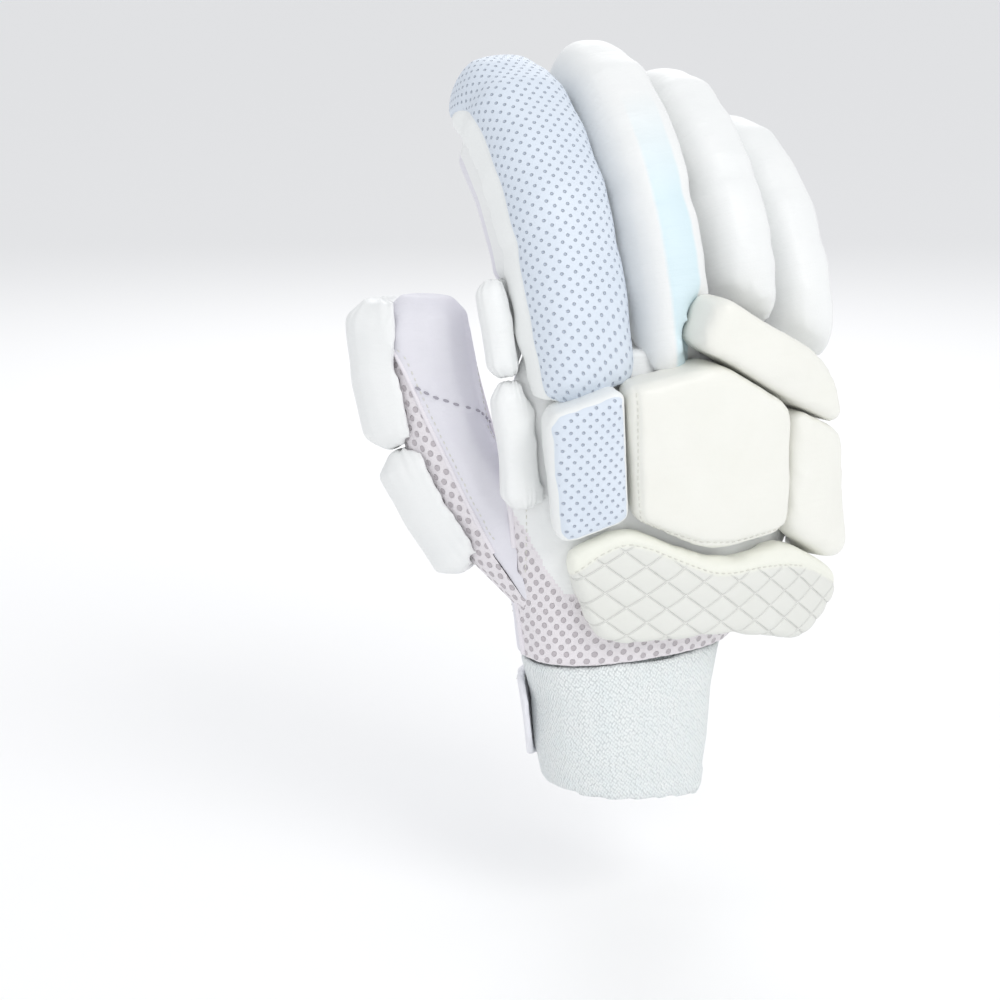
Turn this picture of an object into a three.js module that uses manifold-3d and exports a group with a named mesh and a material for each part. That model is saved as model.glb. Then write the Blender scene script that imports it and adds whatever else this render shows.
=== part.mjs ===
// A cricket batting glove for the right hand, in the form it has when it is worn with the fingers up.
//
// A hollow hand and four finger stalls are each split into leather in front and mesh behind. So is the thumb stall.
// Foam rolls lie over the fingers and the thumb, and foam pads cover the back of the hand. A knitted wristband with
// a hook-and-loop strap closes it.
//
// Millimetres. +Z runs from the wrist to the fingers, the back of the hand faces -Y and the thumb is towards -X.
// The origin is the centre of the wristband's mouth, where the wrist goes in.
import * as THREE from "three";
import { mergeVertices } from "three/addons/utils/BufferGeometryUtils.js";
import Module from "manifold-3d";

// Walls and clearances
const glovedWall = 2; // leather or spacer mesh, with its lining
const knitWall = 3;
const seamGap = 0.3; // between pieces that are sewn or seated on each other
const padGap = 0.9; // between neighbouring rolls and pads

// Wristband
const cuffHeight = 62;
const cuffWidth = 74; // at half height
const cuffDepth = 50;
const cuffHemRise = 10; // how much higher the hem lies on the thumb side

// Strap, from the little finger's side round the palm's side to the thumb
const strapHeight = 42;
const strapThickness = 2.2;
const strapBottom = 12; // height of its lower edge above the mouth
const strapFrom = 8; // degrees round the wristband, from the little finger's side
const strapTo = 179;
const strapLift = 3; // how far its free end stands off the wristband

// Hand
const handHeight = 122; // from the wristband to the webs between the fingers
const handWidth = 130; // across the knuckles
const handDepth = 44; // from the palm to the back, without pads
const handLean = 9; // degrees that the hand bends back from the wrist
const handShift = 14; // how far the knuckles stand towards the little finger from the wrist's middle
const archRadius = 150; // of the row of knuckles, seen from above

// Fingers. A width is a share of the middle roll's width, and the rolls' widths set how far apart the fingers stand.
// A stall is a share of its roll's width, a length is a share of the middle finger's, and a knuckle is a share of the
// hand's height. Bends are degrees from the hand's own direction at the knuckle, halfway and at the tip.
const fingerLength = 129;
const rollWidth = handWidth * 0.23;
const stallDepth = 25;
const knuckleBend = 16;
const middleBend = 28;
const fingers = [
  { name: "index", width: 1.27, stall: 0.81, length: 0.97, knuckle: 0.76, tipBend: 70, turn: -3, splay: -4 },
  { name: "middle", width: 1, stall: 0.87, length: 1, knuckle: 0.77, tipBend: 70, turn: -1, splay: -2 },
  { name: "ring", width: 0.95, stall: 0.87, length: 0.91, knuckle: 0.75, tipBend: 70, turn: 4, splay: 1 },
  { name: "little", width: 0.93, stall: 0.86, length: 0.77, knuckle: 0.71, tipBend: 68, turn: 9, splay: 4 },
];

// Rolls over the fingers. A roll starts at that share of its finger's length. There its width is a share, foot, of its
// own width, and its end lies higher on one side by a share, slant, of its own width.
const rollHeight = 20; // foam above the finger
const rollOverhang = 11; // how far a roll reaches past the fingertip
const rollEnds = {
  index: { start: 0.13, foot: 1.12, slant: 0.37 },
  middle: { start: 0.16, foot: 0.95, slant: 0.27 },
  ring: { start: 0.34, foot: 0.98, slant: -0.56 },
  little: { start: 0.3, foot: 0.98, slant: -0.57 },
};

// Thumb
const thumbLength = 121;
const thumbWidth = 30; // across, seen from its nail
const thumbDepth = 34; // from the nail to the ball
const thumbBends = [-25, 2, 32];
const thumbUp = 0.27; // share of the hand's height at which it leaves the hand
const thumbAround = 171; // degrees round the hand's section, from the little finger's side
const thumbRollHeight = 14;
const thumbRollLip = 2.8; // how far a thumb roll is wider than the thumb, on each side
const thumbSeamTurn = 40; // degrees from the thumb's ball round to where its leather is centred

// Pads on the back of the hand
const padHeight = 17; // above the bed that they lie on
const wristPadHeight = 14;
const padEdge = 4.5; // how far a pad's upper edge is rounded
const padSink = 6; // how far a pad's underside reaches below the bed, before the hand is cut out of it
const bedDepth = 17; // of the bed below the hand's middle, so that it lies just inside the hand
const bedRadius = 170; // of the bed, seen from above
const bedFlare = 0.36; // share of the hand's height below which the bed no longer leans with the hand

// Small rolls on the index finger's side
const sideRollWidth = 14;
const sideRollHeight = 18;

const degrees = Math.PI / 180;
const wasm = await Module();
wasm.setup();

// Solids

// A solid from a closed geometry, turned the right way round.
function solidOf(geometry) {
  geometry.deleteAttribute("normal");
  geometry.deleteAttribute("uv");
  const merged = mergeVertices(geometry, 1e-4);
  const vertProperties = merged.attributes.position.array;
  const triVerts = new Uint32Array(merged.index.array);
  const solid = new wasm.Manifold(new wasm.Mesh({ numProp: 3, vertProperties, triVerts }));
  if (solid.volume() > 0) return solid;
  return new wasm.Manifold(new wasm.Mesh({ numProp: 3, vertProperties, triVerts: triVerts.reverse() }));
}

// A closed surface through rings of equal count, with a pole in the middle of the first and the last ring.
function loft(rings) {
  const count = rings[0].length;
  const positions = [];
  const index = [];
  rings.flat().forEach((p) => positions.push(p.x, p.y, p.z));
  for (let r = 0; r + 1 < rings.length; r += 1) {
    for (let i = 0; i < count; i += 1) {
      const a = r * count + i;
      const b = r * count + ((i + 1) % count);
      index.push(a, b, b + count, a, b + count, a + count);
    }
  }
  [0, rings.length - 1].forEach((r) => {
    const middle = rings[r].reduce((sum, p) => sum.add(p), new THREE.Vector3()).divideScalar(count);
    const pole = positions.length / 3;
    positions.push(middle.x, middle.y, middle.z);
    for (let i = 0; i < count; i += 1) {
      const a = r * count + i;
      const b = r * count + ((i + 1) % count);
      index.push(...(r === 0 ? [pole, b, a] : [pole, a, b]));
    }
  });
  const geometry = new THREE.BufferGeometry();
  geometry.setAttribute("position", new THREE.Float32BufferAttribute(positions, 3));
  geometry.setIndex(index);
  return solidOf(geometry);
}

// All that lies on a plane's far side, as a large block.
function beyondPlane(point, normal) {
  const size = 8 * handHeight;
  const block = new THREE.BoxGeometry(size, size, size).translate(0, 0, size / 2);
  block.applyQuaternion(new THREE.Quaternion().setFromUnitVectors(new THREE.Vector3(0, 0, 1), normal));
  return solidOf(block.translate(point.x, point.y, point.z));
}

function geometryOf(solid) {
  const mesh = solid.getMesh();
  const geometry = new THREE.BufferGeometry();
  geometry.setAttribute("position", new THREE.BufferAttribute(mesh.vertProperties, 3));
  geometry.setIndex(new THREE.BufferAttribute(mesh.triVerts, 1));
  const flat = geometry.toNonIndexed();
  flat.computeVertexNormals();
  return flat;
}

const joined = (solids) => solids.reduce((whole, solid) => whole.add(solid));
const without = (solid, cutters) => cutters.reduce((rest, cutter) => rest.subtract(cutter), solid);

// The largest body of a solid, without the chips that a cut leaves.
const mainBody = (solid) => solid.decompose().sort((a, b) => b.volume() - a.volume())[0];

// The values between the rows of a table whose first column is at.
function between(table, at) {
  const found = table.findIndex((row) => row.at >= at);
  const high = found < 0 ? table.length - 1 : Math.max(1, found);
  const [a, b] = [table[high - 1], table[high]];
  const share = Math.min(1, Math.max(0, (at - a.at) / (b.at - a.at)));
  const eased = share * share * (3 - 2 * share);
  return Object.fromEntries(Object.keys(a).map((key) => [key, a[key] + (b[key] - a[key]) * eased]));
}

// A point on an oval whose sides are flatter the higher its power is.
function onOval(angle, halfWidth, halfDepth, power) {
  const part = (v) => Math.sign(v) * Math.abs(v) ** (2 / power);
  return [halfWidth * part(Math.cos(angle)), halfDepth * part(Math.sin(angle))];
}

// Wristband: a knitted tube whose mouth is cut higher on the thumb side
const cuffShape = [
  { at: 0.0, width: 0.9, depth: 0.92 },
  { at: 0.35, width: 0.99, depth: 1.0 },
  { at: 0.7, width: 1.03, depth: 1.0 },
  { at: 1.0, width: 1.16, depth: 0.98 },
];
const cuffPower = 2.15;
const cuffSides = 24;

function cuffPoint(angle, share, outwards) {
  const shape = between(cuffShape, share);
  const halfWidth = (cuffWidth * shape.width) / 2 + outwards;
  const [x, y] = onOval(angle, halfWidth, (cuffDepth * shape.depth) / 2 + outwards, cuffPower);
  const hem = (cuffHemRise / 2) * (1 - x / halfWidth) * (1 - share);
  return new THREE.Vector3(x, y, hem + (cuffHeight - hem) * share);
}

const cuffRing = (share, outwards) =>
  Array.from({ length: cuffSides }, (_, i) => cuffPoint((2 * Math.PI * i) / cuffSides, share, outwards));

const cuffLoft = (outwards) => loft(cuffShape.map(({ at }) => cuffRing(at, outwards)));

function cuffSolid() {
  const raised = (ring, up) => ring.map((p) => p.clone().setZ(p.z + up));
  const bore = cuffShape.map(({ at }) => cuffRing(at, -knitWall));
  const inner = loft([raised(bore[0], -knitWall), ...bore, raised(bore[bore.length - 1], knitWall)]);
  return cuffLoft(0).subtract(inner);
}

// Strap: its free end is cut to a point and stands off the wristband.
const strapSink = 1; // how far its underside reaches into the wristband, before the wristband is cut out of it
const strapShape = [
  { at: 0.0, low: 0, high: 1, lift: 0 },
  { at: 0.8, low: 0, high: 1, lift: 0 },
  { at: 0.9, low: 0, high: 1, lift: 0.35 },
  { at: 1.0, low: 0.35, high: 0.75, lift: 1 },
];

function strapSolid() {
  const stations = 14;
  const rings = Array.from({ length: stations }, (_, i) => {
    const share = i / (stations - 1);
    const { low, high, lift } = between(strapShape, share);
    const angle = (strapFrom + (strapTo - strapFrom) * share) * degrees;
    const outer = seamGap + lift * strapLift + strapThickness;
    const inner = outer - strapThickness - strapSink * (1 - lift);
    const corner = (up, outwards) => cuffPoint(angle, (strapBottom + strapHeight * up) / cuffHeight, outwards);
    const middle = (low + high) / 2;
    return [
      corner(low, inner),
      corner(low, outer),
      corner(middle, outer),
      corner(high, outer),
      corner(high, inner),
      corner(middle, inner),
    ];
  });
  return mainBody(loft(rings).subtract(cuffLoft(seamGap)));
}

// Hand: its sections follow a middle line that bends back from the wrist.
const handShape = [
  { at: 0.0, width: 0.67, depth: 1.12, shift: 0.02 },
  { at: 0.14, width: 0.82, depth: 1.1, shift: 0.5 },
  { at: 0.32, width: 0.95, depth: 1.04, shift: 0.8 },
  { at: 0.55, width: 0.99, depth: 0.98, shift: 0.95 },
  { at: 0.82, width: 1.0, depth: 0.82, shift: 1.0 },
  { at: 0.94, width: 0.985, depth: 0.62, shift: 1.0 },
  { at: 1.0, width: 0.95, depth: 0.42, shift: 1.0 },
];
const handPower = 2.5;
const handSides = 24;
const handBase = cuffHeight + seamGap;

function handSection(z) {
  const share = (z - handBase) / handHeight;
  const shape = between(handShape, share);
  return {
    x: handShift * shape.shift,
    y: -Math.tan(handLean * degrees) * Math.max(0, z - handBase),
    halfWidth: (handWidth * shape.width) / 2,
    halfDepth: (handDepth * shape.depth) / 2,
    arch: Math.min(1, Math.max(0, share * 1.6)) / (2 * archRadius),
  };
}

function handPoint(angle, z, inset) {
  const section = handSection(z);
  const halfDepth = section.halfDepth - inset;
  const [across, deep] = onOval(angle, section.halfWidth - inset, halfDepth, handPower);
  return new THREE.Vector3(section.x + across, section.y + deep + section.arch * across * across, z);
}

const handRing = (z, inset) =>
  Array.from({ length: handSides }, (_, i) => handPoint((2 * Math.PI * i) / handSides, z, inset));

function handLoft(inset, base) {
  const top = handBase + handHeight - inset;
  const shares = [0.14, 0.32, 0.55, 0.76, 0.9, 1];
  const levels = [base, ...shares.map((share) => handBase + (top - handBase) * share)];
  return loft(levels.map((z) => handRing(z, inset)));
}

// Limbs: fingers and thumb. A limb's path is two arcs in one plane, each of half its length, between three bends in
// degrees. Out points from its back or nail.
function limb({ root, up, palm, bends, length }) {
  const half = length / 2;
  const side = palm.clone().negate().cross(up);
  const arc = (from, start, rate, s) => {
    const bend = start + rate * s;
    const forward = (Math.sin(bend) - Math.sin(start)) / rate;
    const palmward = (Math.cos(start) - Math.cos(bend)) / rate;
    const at = from.clone().addScaledVector(up, forward).addScaledVector(palm, palmward);
    return { at, side, out: palm.clone().multiplyScalar(-Math.cos(bend)).addScaledVector(up, Math.sin(bend)) };
  };
  const [start, middle, end] = bends.map((bend) => bend * degrees);
  const lower = (s) => arc(root, start, (middle - start) / half, s);
  return (s) => (s < half ? lower(s) : arc(lower(half).at, middle, (end - middle) / half, s - half));
}

const placed = (frame, side, out) =>
  frame.at.clone().addScaledVector(frame.side, side).addScaledVector(frame.out, out);

// A stall is an oval tube along the limb that rounds off at its tip.
const stallSides = 12;
const stallPower = 2.3;
const tipShape = [
  { back: 1.0, size: 1.0 },
  { back: 0.45, size: 0.9 },
  { back: 0.08, size: 0.55 },
];

function stallLoft(path, length, halfWidth, halfDepth, inset) {
  const tipRadius = Math.min(halfWidth, halfDepth);
  const ring = (s, size) => {
    const frame = path(s);
    return Array.from({ length: stallSides }, (_, i) => {
      const angle = (2 * Math.PI * (i + 0.5)) / stallSides;
      const [side, out] = onOval(angle, (halfWidth - inset) * size, (halfDepth - inset) * size, stallPower);
      return placed(frame, side, out);
    });
  };
  const steps = 5;
  const body = length - tipRadius;
  const rings = Array.from({ length: steps }, (_, i) => ring((body * i) / steps, 1));
  tipShape.forEach(({ back, size }) => rings.push(ring(length - inset - (tipRadius - inset) * back, size)));
  return loft(rings);
}

// Where each finger stands: along an arc, spaced by the widths of the rolls.
const rowShift = 1.5; // of the row of fingers, from the hand's middle towards the little finger
const sizedFingers = fingers.map((finger) => {
  const width = finger.width * rollWidth;
  return { ...finger, width, halfWidth: (width * finger.stall) / 2, length: finger.length * fingerLength };
});
const rowWidth = sizedFingers.reduce((sum, finger) => sum + finger.width + padGap, -padGap);

const placedFingers = sizedFingers.map((finger, i) => {
  const before = sizedFingers.slice(0, i).reduce((sum, other) => sum + other.width + padGap, 0);
  const angle = (before + finger.width / 2 - rowWidth / 2) / archRadius;
  const z = handBase + handHeight * finger.knuckle;
  const section = handSection(z);
  const x = section.x + rowShift + archRadius * Math.sin(angle);
  const root = new THREE.Vector3(x, section.y + archRadius * (1 - Math.cos(angle)), z);
  const lean = -handLean * degrees;
  const up = new THREE.Vector3(Math.sin(finger.splay * degrees), Math.sin(lean), Math.cos(lean)).normalize();
  const turn = finger.turn * degrees;
  const palm = new THREE.Vector3(-Math.sin(turn), Math.cos(turn), 0);
  palm.addScaledVector(up, -palm.dot(up)).normalize();
  const path = limb({ root, up, palm, bends: [knuckleBend, middleBend, finger.tipBend], length: finger.length });
  return { ...finger, root, path };
});

const fingerLoft = (finger, inset) =>
  stallLoft(finger.path, finger.length, finger.halfWidth, stallDepth / 2, inset);

// Thumb: it leaves the hand's side low down. Its nail faces away from the hand.
const thumbRoot = handPoint(thumbAround * degrees, handBase + handHeight * thumbUp, thumbWidth / 2);
const thumbAim = new THREE.Vector3(-0.33, 0.44, 1).normalize();
const thumbNail = new THREE.Vector3(-0.72, 0.69, 0);
thumbNail.addScaledVector(thumbAim, -thumbNail.dot(thumbAim)).normalize();
const thumbPath = limb({
  root: thumbRoot,
  up: thumbAim,
  palm: thumbNail.clone().negate(),
  bends: thumbBends,
  length: thumbLength,
});
const thumbLoft = (inset) => stallLoft(thumbPath, thumbLength, thumbWidth / 2, thumbDepth / 2, inset);

// Shells
const handGrown = handLoft(-seamGap, handBase);
const fingersGrown = placedFingers.map((finger) => fingerLoft(finger, -seamGap));
const thumbGrown = thumbLoft(-seamGap);
const bed = joined([handGrown, ...fingersGrown, thumbGrown]);
const hollow = joined([
  handLoft(glovedWall, handBase - glovedWall),
  ...placedFingers.map((finger) => fingerLoft(finger, glovedWall)),
  thumbLoft(glovedWall),
]);
const handShell = handLoft(0, handBase).subtract(hollow);
const fingerShells = placedFingers.map((finger) => without(fingerLoft(finger, 0), [handGrown, hollow]));
const thumbShell = mainBody(without(thumbLoft(0), [handGrown, ...fingersGrown, hollow]));

// What lies on the palm's side of the seam that joins leather and mesh, moved outwards by a gap.
const palmSeam = 1.5; // from the hand's middle towards the palm
const frontStart = 0.1; // share of a finger's length at which its leather front starts

function palmSide(gap) {
  const reach = handWidth + handDepth;
  const hand = [handBase - 1, handBase + handHeight * 0.5, handBase + handHeight + 1].map((z) => {
    const { x, y, arch } = handSection(z);
    const edge = (across) => new THREE.Vector3(x + across, y + palmSeam - gap + arch * across * across, z);
    const shares = [-0.75, -0.375, 0, 0.375, 0.75];
    return [
      ...shares.map((share) => edge(share * handWidth)),
      new THREE.Vector3(x + reach, y + reach, z),
      new THREE.Vector3(x - reach, y + reach, z),
    ];
  });
  const fronts = placedFingers.map(({ path, length, halfWidth }) =>
    loft(
      Array.from({ length: 7 }, (_, i) => {
        const frame = path(length * frontStart + (length * (1 - frontStart) + 1) * (i / 6));
        const half = halfWidth + 1;
        const seam = gap - palmSeam;
        return [
          placed(frame, -half, seam),
          placed(frame, half, seam),
          placed(frame, half, seam - stallDepth),
          placed(frame, -half, seam - stallDepth),
        ];
      }),
    ),
  );
  return joined([loft(hand), ...fronts]);
}

const leatherSide = palmSide(0);
const besideLeatherSide = palmSide(seamGap);
const palmLeather = mainBody(handShell.intersect(leatherSide));
const backMesh = mainBody(handShell.subtract(besideLeatherSide));

// The thumb's leather covers its ball and the side that faces the hand's back; the rest is mesh.
const thumbSeamNormal = thumbNail.clone().negate().applyAxisAngle(thumbAim, -thumbSeamTurn * degrees);
const thumbSeamPoint = thumbPath(thumbLength / 2).at;
const thumbLeather = mainBody(thumbShell.intersect(beyondPlane(thumbSeamPoint, thumbSeamNormal)));
const thumbMeshSeam = thumbSeamPoint.clone().addScaledVector(thumbSeamNormal, -seamGap);
const thumbMesh = mainBody(thumbShell.subtract(beyondPlane(thumbMeshSeam, thumbSeamNormal)));

// Rolls: domes along a limb's back, hollowed by the limb that they lie on
const rollShape = [
  { at: 0.0, width: 0.8, height: 0.66, base: 0.3 },
  { at: 0.05, width: 0.95, height: 0.92, base: 0.3 },
  { at: 0.18, width: 1.02, height: 1.0, base: 0.25 },
  { at: 0.5, width: 1.1, height: 1.0, base: 0.15 },
  { at: 0.8, width: 1.12, height: 0.98, base: 0.1 },
  { at: 0.94, width: 1.0, height: 0.84, base: -0.1 },
  { at: 1.0, width: 0.76, height: 0.6, base: -0.25 },
];
const rollSides = 11;
const rollPower = 3;

function rollSolid({ path, from, to, width, foot, slant, deep, height, shape, stations }, grow) {
  const rings = stations.map((share) => {
    const row = between(shape, share);
    const half = (width * row.width * (1 + (foot - 1) * (1 - share) ** 2)) / 2 + grow;
    const low = deep * row.base - grow;
    return Array.from({ length: rollSides }, (_, i) => {
      const angle = (Math.PI * i) / (rollSides - 1);
      const [side, rise] = onOval(angle, half, (deep + height) * row.height + grow - low, rollPower);
      const s = from - grow + (to - from + 2 * grow) * share - slant * (side / width) * (1 - share) ** 2;
      return placed(path(s), -side, low + rise);
    });
  });
  return loft(rings);
}

// The plane between two fingers, moved towards one of them by half a gap
function betweenFingers(finger, neighbour) {
  const sideOf = ({ path }) => path(0).side.clone();
  const toNeighbour = sideOf(finger).add(sideOf(neighbour)).normalize();
  if (toNeighbour.dot(neighbour.root.clone().sub(finger.root)) < 0) toNeighbour.negate();
  const share = finger.width / (finger.width + neighbour.width);
  const point = finger.root.clone().lerp(neighbour.root, share).addScaledVector(toNeighbour, -padGap / 2);
  return beyondPlane(point, toNeighbour);
}

const rollStations = [0, 0.05, 0.18, 0.34, 0.5, 0.66, 0.8, 0.9, 0.96, 1];
const fingerRoll = ({ name, path, length, width }, grow) => {
  const { start, foot, slant } = rollEnds[name];
  const size = { from: start * length, to: length + rollOverhang, width, foot, slant: -slant * width };
  const rise = { deep: stallDepth / 2, height: rollHeight };
  return rollSolid({ path, ...size, ...rise, shape: rollShape, stations: rollStations }, grow);
};
const fingerRolls = placedFingers.map((finger, i) => {
  const whole = fingerRoll(finger, 0);
  const neighbours = [placedFingers[i - 1], placedFingers[i + 1]].filter(Boolean);
  return without(whole, [bed, ...neighbours.map((neighbour) => betweenFingers(finger, neighbour))]);
});

// Thumb rolls: two on the nail's side, end to end
const thumbRollShape = [
  { at: 0.0, width: 0.8, height: 0.75, base: 0.45 },
  { at: 0.12, width: 1.0, height: 1.0, base: 0.4 },
  { at: 0.88, width: 1.0, height: 1.0, base: 0.4 },
  { at: 1.0, width: 0.8, height: 0.75, base: 0.45 },
];
const thumbRolls = [
  { name: "thumb_roll_lower", from: 0.17, to: 0.56 },
  { name: "thumb_roll_upper", from: 0.56, to: 0.98 },
];
const shortRoll = { foot: 1, slant: 0, shape: thumbRollShape, stations: [0, 0.12, 0.5, 0.88, 1] };
const thumbRollSolid = ({ from, to }) => {
  const along = { path: thumbPath, from: thumbLength * from, to: thumbLength * to };
  const across = { width: thumbWidth + 2 * thumbRollLip, deep: thumbDepth / 2, height: thumbRollHeight };
  return rollSolid({ ...shortRoll, ...along, ...across }, -padGap / 2).subtract(bed);
};

// Small rolls along the index finger's side, which lean towards the back of the hand. They start and end at shares of
// the middle finger's length, along the index finger's path.
const sideRolls = [
  { name: "index_side_roll_lower", from: -0.22, to: 0.16 },
  { name: "index_side_roll_upper", from: 0.16, to: 0.45 },
];
const sideRollLean = 14 * degrees;

function sideRollPath(s) {
  const index = placedFingers[0];
  const { at, side, out } = index.path(s);
  const turned = (a, b) => side.clone().multiplyScalar(a).addScaledVector(out, b);
  return {
    at: placed({ at, side, out }, index.halfWidth, 0),
    out: turned(Math.cos(sideRollLean), Math.sin(sideRollLean)),
    side: turned(-Math.sin(sideRollLean), Math.cos(sideRollLean)),
  };
}

const sideRollSolid = ({ from, to }) => {
  const along = { path: sideRollPath, from: from * fingerLength, to: to * fingerLength };
  const across = { width: sideRollWidth, deep: 0, height: sideRollHeight };
  return rollSolid({ ...shortRoll, ...along, ...across }, -padGap / 2);
};

// Pads: an outline on the back of the hand, raised and rounded off. A corner's across is a share of the hand's half
// width, its up is a share of the hand's height, and its round is how far along both edges it is rounded.
const corner = (across, up, round) => ({ across, up, round });
const sideTop = corner(-0.575, 0.93, 4);
const sideFoot = corner(-0.465, 0.495, 4);
const hexagonTop = corner(-0.04, 0.985, 6);
const hexagonRight = corner(0.475, 0.81, 6);
const hexagonFoot = corner(0.565, 0.38, 6);
const hexagonTip = corner(0.03, 0.355, 8);
const outerTop = corner(0.92, 0.695, 4);
const pads = [
  {
    name: "side_pad",
    height: padHeight - 1,
    corners: [corner(-1.0, 0.85, 5), sideTop, sideFoot, corner(-0.87, 0.415, 7)],
  },
  {
    name: "hexagon_pad",
    height: padHeight,
    corners: [sideTop, hexagonTop, hexagonRight, hexagonFoot, hexagonTip, sideFoot],
  },
  {
    name: "knuckle_pad",
    height: padHeight,
    corners: [
      corner(-0.1, 1.2, 6),
      corner(0.66, 0.955, 8),
      corner(0.81, 0.86, 8),
      outerTop,
      hexagonRight,
      hexagonTop,
      corner(-0.21, 1.03, 6),
    ],
  },
  {
    name: "outer_pad",
    height: padHeight - 1,
    corners: [hexagonRight, outerTop, corner(1.18, 0.24, 8), corner(1.0, 0.225, 6), hexagonFoot],
  },
  {
    name: "wrist_pad",
    height: wristPadHeight,
    corners: [
      corner(-0.83, 0.4, 6),
      corner(-0.47, 0.48, 8),
      corner(0.03, 0.34, 16),
      corner(0.36, 0.325, 10),
      corner(0.56, 0.36, 8),
      corner(1.04, 0.205, 6),
      corner(1.14, 0.12, 8),
      corner(0.78, -0.025, 10),
      corner(0.2, 0.08, 20),
      corner(-0.64, 0.085, 12),
    ],
  },
];

function bedPoint({ x, y }, rise) {
  const above = Math.max(y, handHeight * bedFlare);
  const angle = x / bedRadius;
  const radius = bedRadius + rise;
  const middle = bedRadius - bedDepth - Math.tan(handLean * degrees) * above;
  return new THREE.Vector3(handShift + radius * Math.sin(angle), middle - radius * Math.cos(angle), handBase + y);
}

// Points along an outline with rounded corners, no two further apart than a step
function outlineOf(corners, step) {
  const at = corners.map(({ across, up }) => new THREE.Vector2((across * handWidth) / 2, up * handHeight));
  const along = (from, to, distance) => from.clone().add(to.clone().sub(from).setLength(distance));
  return corners.flatMap(({ round }, i) => {
    const before = at[(i + corners.length - 1) % corners.length];
    const after = at[(i + 1) % corners.length];
    const next = corners[(i + 1) % corners.length];
    const start = along(at[i], before, round);
    const end = along(at[i], after, round);
    const bend = new THREE.QuadraticBezierCurve(start, at[i], end).getPoints(2);
    const straight = new THREE.LineCurve(end, along(after, at[i], next.round));
    const steps = Math.ceil(straight.getLength() / step);
    return [...bend, ...straight.getPoints(steps).slice(1, -1)];
  });
}

const padShape = [
  { inset: 0, share: 0, below: 1 },
  { inset: 0, share: 0.7, below: 0 },
  { inset: 0.3, share: 0.9, below: 0 },
  { inset: 1, share: 1, below: 0 },
];
const padCrown = 1.2; // how much higher the middle of a pad's top lies
const padRidge = 0.94; // share of the way in from its edge at which a pad's top meets

function padSolid({ corners, height }, grow, shape) {
  const outline = outlineOf(corners, 17);
  const box = new THREE.Box2().setFromPoints(outline);
  const middle = box.getCenter(new THREE.Vector2());
  const half = box.getSize(new THREE.Vector2()).divideScalar(2);
  const ring = (inset, rise) =>
    outline.map((p) => {
      const scaled = p.clone().sub(middle).multiply(new THREE.Vector2(1 - inset / half.x, 1 - inset / half.y));
      return bedPoint(scaled.add(middle), rise);
    });
  const rings = shape.map(({ inset, share, below }) => {
    const rise = height * share - below * padSink;
    return ring(inset * padEdge - grow, rise);
  });
  return loft([...rings, ring(Math.min(half.x, half.y) * padRidge, height + padCrown)]);
}

// Each pad is cut by the hand, and each roll by the pads that it meets
const padSolids = pads.map((pad) => without(padSolid(pad, -padGap / 2, padShape), [bed]));
const clearanceShape = [padShape[0], { inset: 0, share: 1, below: 0 }];
const padClearance = joined(
  pads.map((pad) => padSolid({ ...pad, height: pad.height * 2 }, padGap / 2, clearanceShape)),
);

const nodes = {
  wristband: cuffSolid(),
  strap: strapSolid(),
  palm_leather: palmLeather,
  back_mesh: backMesh,
  thumb_leather: thumbLeather,
  thumb_mesh: thumbMesh,
};
placedFingers.forEach(({ name }, i) => {
  nodes[`${name}_front`] = mainBody(fingerShells[i].intersect(leatherSide));
  nodes[`${name}_stall`] = mainBody(fingerShells[i].subtract(besideLeatherSide));
  nodes[`${name}_roll`] = mainBody(fingerRolls[i].subtract(padClearance));
});
thumbRolls.forEach((roll) => {
  nodes[roll.name] = thumbRollSolid(roll);
});
pads.forEach(({ name }, i) => {
  nodes[name] = mainBody(padSolids[i]);
});
const besideIndex = [bed, padClearance, fingerRoll(placedFingers[0], seamGap)];
sideRolls.forEach((roll) => {
  nodes[roll.name] = mainBody(without(sideRollSolid(roll), besideIndex));
});

// Finishes
const whiteLeather = { color: 0xf1f0ec, roughness: 0.55 };
const palmHide = { color: 0xe9e9ee, roughness: 0.62 };
const blueLeather = { color: 0xd5deea, roughness: 0.6 };
const airMesh = { color: 0xe6e0e6, roughness: 0.85 };
const knit = { color: 0xeef3f2, roughness: 0.95 };
const tiledRubber = { color: 0xdadbd5, roughness: 0.6 };
const finishes = {
  wristband: knit,
  strap: palmHide,
  palm_leather: palmHide,
  back_mesh: airMesh,
  thumb_leather: palmHide,
  thumb_mesh: airMesh,
  index_roll: blueLeather,
  side_pad: blueLeather,
  wrist_pad: tiledRubber,
};
fingers.forEach(({ name }) => {
  finishes[`${name}_front`] = palmHide;
  finishes[`${name}_stall`] = airMesh;
});

const group = new THREE.Group();
Object.entries(nodes).forEach(([name, solid]) => {
  const mesh = new THREE.Mesh(geometryOf(solid), new THREE.MeshStandardMaterial(finishes[name] ?? whiteLeather));
  mesh.name = name;
  group.add(mesh);
});

export default group;
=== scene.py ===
# %% [markdown]
# # A cricket batting glove
#
# A batting glove is a soft leather and mesh hand under a row of foam rolls and pads. The measured solids
# say where each piece is. This notebook gives each piece the shape that sewn leather and foam take, and
# then its finish. All lengths in the code are millimetres until they go into a mesh.

# %% Load the measured solids
import math

import bmesh
import bpy
import numpy as np
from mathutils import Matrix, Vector
from mathutils.bvhtree import BVHTree


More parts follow.
